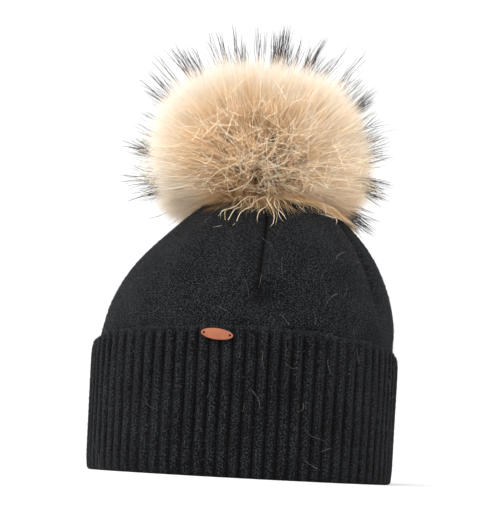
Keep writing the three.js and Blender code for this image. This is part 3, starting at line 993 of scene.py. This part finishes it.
# %% [markdown]
# Long pale hairs have come loose and lie across the ball. About half run outward from the parting,
# as combed hair does, and the others cross them. Each one is a short random walk that keeps its
# direction for a while. A few more hang down over the crown. Their table holds where each cluster
# hangs in degrees from the front, its number of hairs, its drift sideways in degrees and its
# length in millimetres.

# %% Fur: stray hairs
FRONT_STRAYS = 1300
OTHER_STRAYS = 480
CROSSING_SHARE = 0.55
LOWEST_STRAY = 163 * MM
HANGING_CLUSTERS = np.array([
    (-19, 8, -8, 20), (-12, 5, -5, 15), (-6, 4, -3, 11), (-1, 6, 1, 21), (4, 3, 2, 9), (22, 2, 2, 9),
    (36, 4, 3, 15),
])
OTHER_HANGING = 40
STRAY_POINTS = 9


def stray_hairs():
    rng = np.random.default_rng(77)
    count = FRONT_STRAYS + OTHER_STRAYS
    turn = np.concatenate([rng.normal(0, 34, FRONT_STRAYS), rng.uniform(60, 300, OTHER_STRAYS)])
    rise = np.concatenate([rng.normal(1, 16, FRONT_STRAYS), rng.uniform(-15, 60, OTHER_STRAYS)])
    turn, rise = np.radians(turn), np.radians(np.clip(rise, -26, 70))
    axis = np.stack([np.sin(turn) * np.cos(rise), -np.cos(turn) * np.cos(rise), np.sin(rise)], 1)
    start = TIE_POINT + axis * (reach_to_outline(axis) * rng.uniform(0.84, 0.96, count))[:, None]
    combed = unit(axis - PARTING + rng.normal(size=(count, 3)) * 0.18)
    crossing = unit(np.cross(axis, rng.normal(size=(count, 3))))
    crosses = (rng.uniform(size=count) < CROSSING_SHARE)[:, None]
    heading = unit(np.where(crosses, crossing, combed) + axis * rng.uniform(0.1, 0.5, count)[:, None])
    longer = np.clip(1.2 - 1.6 * axis[:, 2:], 0.35, 1.5)
    crossing_step = rng.uniform(1.0, 3.8, (count, 1))
    combed_step = rng.uniform(1.2, 3.6, (count, 1)) * longer
    step = np.where(crosses, crossing_step, combed_step) * MM
    bend = np.where(crosses, 0.11, 0.09)
    path = [start]
    swerve = rng.normal(size=(count, 3)) * bend
    for _ in range(STRAY_POINTS - 1):
        swerve = 0.9 * swerve + rng.normal(size=(count, 3)) * bend * 0.25
        heading = unit(heading + swerve)
        path.append(path[-1] + heading * step)
    paths = clear_of_crown(np.clip(np.stack(path, 1), FUR_BOX_LOW, FUR_BOX_HIGH), 1.0 * MM)
    paths = paths[paths[:, :, 2].min(1) > LOWEST_STRAY]
    widths = (0.08 + 0.13 * rng.uniform(0, 1, (len(paths), 1)) ** 2) * MM
    return ribbon_mesh("pompom_stray_hair", paths, widths, rng.uniform(0.3, 1.0, len(paths)))


def hanging_hairs():
    rng = np.random.default_rng(78)
    front = np.repeat(HANGING_CLUSTERS, HANGING_CLUSTERS[:, 1].astype(int), axis=0)
    back = np.stack([rng.uniform(100, 260, OTHER_HANGING), *np.tile([[0], [0], [12]], OTHER_HANGING)], 1)
    middle_turn, _, drift, drop = np.concatenate([front, back]).T
    count = len(drop)
    turn = np.radians(middle_turn + rng.normal(size=count) * 3)
    start_z = rng.uniform(164, 168, count) * MM
    drop = drop * rng.uniform(0.4, 1.1, count) * MM
    drift = np.radians(drift * rng.uniform(0.3, 1.6, count) + rng.normal(size=count) * 4)
    curl = rng.uniform(0, 2 * np.pi, count)
    path = []
    for share in np.linspace(0, 1, STRAY_POINTS):
        z = start_z - drop * share ** 1.3
        middle, wide, deep = crown_ring(z)
        way = turn + drift * share + 0.04 * np.sin(curl + 5 * share)
        lift = 1.2 * MM + 4.5 * MM * (1 - share) ** 1.5
        path.append(np.stack([middle + (wide + lift) * np.sin(way), -(deep + lift) * np.cos(way), z], 1))
    paths = np.stack(path, 1)
    widths = rng.uniform(0.18, 0.32, count)[:, None] * MM
    return ribbon_mesh("pompom_hanging_hair", paths, widths, rng.uniform(0, 0.6, count))


finish_piece(stray_hairs(), stray_fur, "fur", "pompom")
finish_piece(hanging_hairs(), stray_fur, "fur", "pompom")

# %% [markdown]
# Brushed wool has a halo of short fibres, which softens its outline. Points are picked all over
# the outside of each knitted piece, in proportion to the area of its faces, and a short dark fibre
# leans out from each. A few long pale ones lie among them, as lint that clings to the wool.

# %% Fuzz and lint on the knit
LINT_POINTS = 7


def points_on(piece, count, rng, keep_face):
    centres, normals = face_centres(piece), read(piece.data.polygons, "normal")
    areas = read(piece.data.polygons, "area", 1)[:, 0] * keep_face(centres, normals)
    chosen = rng.choice(len(areas), count, p=areas / areas.sum())
    tangent = unit(np.cross(normals[chosen], rng.normal(size=(count, 3))))
    spread = np.sqrt(areas[chosen])[:, None] * rng.uniform(-0.6, 0.6, (count, 1))
    return centres[chosen] + tangent * spread, normals[chosen]


def fuzz(name, piece, count, seed, keep_face, length, lean, paleness=(0.7, 2.0)):
    rng = np.random.default_rng(seed)
    roots, normals = points_on(piece, count, rng, keep_face)
    flat = unit(np.cross(normals, rng.normal(size=(count, 3))))
    way = unit(normals * rng.uniform(lean, 1.0, (count, 1)) + flat * 1.2)
    size = rng.uniform(0.35, 1.0, (count, 1)) ** 1.5 * length
    curl = unit(np.cross(normals, flat)) * rng.normal(size=(count, 1)) * 0.35
    paths = np.stack([roots, roots + way * size * 0.5, roots + (way + curl - normals * 0.25) * size], 1)
    paths[:, :, 2] = np.clip(paths[:, :, 2], 0.2 * MM, None)
    widths = rng.uniform(0.07, 0.13, (count, 1)) * MM
    return ribbon_mesh(name, paths, widths, rng.beta(*paleness, count))


def outside_face(centres, normals):
    on_outer_layer = (inset_of(centres) < 0.45 * FOLD) * (centres[:, 2] > 1 * MM)
    return (normals * centres * [1, 1, 0]).sum(1) * on_outer_layer > 0


def outside_crown(centres, normals):
    outward = centres - np.array([TOP_LEAN / 2, 0, 0.09])
    return ((normals * outward).sum(1) > 0) & (centres[:, 2] > 74 * MM) & (centres[:, 2] < 172 * MM)


def cuff_edge(centres, normals):
    return centres[:, 2] > edge_height(centres) - 2.2 * MM


fuzz_wool = fur_material(
    "fuzz_wool", 0.8,
    [(0, (6, 6, 7)), (1, (13, 14, 15))],
    [(0, (28, 29, 31)), (1, (92, 94, 98))],
)
finish_piece(fuzz("crown_fuzz", crown, 24000, 11, outside_crown, 2.4 * MM, 0.25), fuzz_wool, "crown_knit")
finish_piece(fuzz("cuff_fuzz", cuff, 24000, 12, outside_face, 1.8 * MM, 0.25), fuzz_wool, "cuff_knit")
# Along the turned-up edge the fuzz is paler: real fuzz with a painted highlight where the fold catches the
# light.
edge_fuzz = fuzz("cuff_edge_fuzz", cuff, 9000, 13, cuff_edge, 2.0 * MM, 0.4, (1.6, 1.8))
finish_piece(edge_fuzz, fuzz_wool, "cuff_knit")


def lint(name, piece, count, seed, keep_face):
    """Fine pale fibres that lie on the knit in loose curves."""
    rng = np.random.default_rng(seed)
    start, normals = points_on(piece, count, rng, keep_face)
    heading = unit(np.cross(normals, rng.normal(size=(count, 3))))
    step = rng.uniform(0.7, 2.4, (count, 1)) * MM
    turning = rng.normal(size=(count, 1)) * 0.22
    path = [start + normals * 0.5 * MM]
    for _ in range(LINT_POINTS - 1):
        swerve = turning + rng.normal(size=(count, 1)) * 0.12
        heading = unit(heading + np.cross(normals, heading) * swerve)
        path.append(path[-1] + heading * step)
    widths = rng.uniform(0.05, 0.09, (count, 1)) * MM
    paths = np.stack(path, 1)
    paths[:, :, 2] = np.clip(paths[:, :, 2], 0.5 * MM, None)
    return ribbon_mesh(name, paths, widths, rng.uniform(0, 1, count))


lint_fibre = fur_material(
    "lint_fibre", 0.7,
    [(0, (84, 83, 82)), (1, (112, 110, 107))],
    [(0, (132, 130, 127)), (1, (190, 187, 182))],
)
finish_piece(lint("crown_lint", crown, 85, 14, outside_crown), lint_fibre, "crown_knit")
finish_piece(lint("cuff_lint", cuff, 120, 15, outside_face), lint_fibre, "cuff_knit")

# %% [markdown]
# The tag is a thin oval plate of tan leather with two small sewing holes, near the top of the
# cuff. It starts as a disc stretched to the oval and its thickness. The holes are cut with a
# Boolean and the edges bevelled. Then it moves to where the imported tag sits, with its turn and
# tilt.

# %% Tag
TAG_WIDTH = 18.2 * MM
TAG_HEIGHT = 6.2 * MM
TAG_THICKNESS = 1.2 * MM
TAG_HOLE_RADIUS = 0.65 * MM
TAG_HOLE_SPACING = 14.9 * MM
TAG_TILT = math.radians(5)

tag_low, tag_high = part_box("tag")
tag_middle = (tag_low + tag_high) / 2
tag_turn = math.asin(tag_middle.x / (half_width + 1 * MM))
tag_facing = math.atan2(math.sin(tag_turn) / half_width, math.cos(tag_turn) / half_depth)
upright = Matrix.Rotation(math.pi / 2, 4, "X")
tilt = Matrix.Rotation(-TAG_TILT, 4, "Z")
facing = Matrix.Rotation(tag_facing, 4, "Z")

bpy.ops.mesh.primitive_cylinder_add(vertices=96, radius=0.5, depth=1, end_fill_type="TRIFAN")
tag = bpy.context.object
tag.name = "tag_plate"
tag.scale = (TAG_WIDTH, TAG_HEIGHT, TAG_THICKNESS)
bpy.ops.object.transform_apply(location=False, rotation=False, scale=True)
for side in (-1, 1):
    bpy.ops.mesh.primitive_cylinder_add(
        vertices=24, radius=TAG_HOLE_RADIUS, depth=4 * TAG_THICKNESS,
        location=(side * TAG_HOLE_SPACING / 2, 0, 0))
    cutter = bpy.context.object
    apply_modifier(tag, "BOOLEAN", object=cutter, operation="DIFFERENCE", solver="EXACT")
    bpy.data.objects.remove(cutter)
apply_modifier(tag, "BEVEL", width=0.28 * MM, segments=3, limit_method="ANGLE",
               angle_limit=math.radians(50), harden_normals=False)
tag.data.transform(Matrix.Translation(tag_middle) @ facing @ upright @ tilt)
tag.data.update()
select_only(tag)
bpy.ops.object.shade_smooth_by_angle(angle=math.radians(35))

tag_leather, tree, shader = new_material("tag_leather", 0.5)
grain = noise_node(tree, object_place(tree), 1500, 4)
clouds = noise_node(tree, object_place(tree), 180, 3)
shade = math_node(tree, "MULTIPLY_ADD", grain, 0.35, math_node(tree, "MULTIPLY", clouds, 0.65))
leather = screen_ramp(tree, shade, [(0.3, (124, 60, 32)), (0.7, (160, 90, 54))])
tree.links.new(leather, shader.inputs["Base Color"])
add_bump(tree, shader, grain, 0.25, 0.2 * MM)
finish_piece(tag, tag_leather, "tag_leather", "tag")
print("tag_plate has", len(tag.data.polygons), "faces")
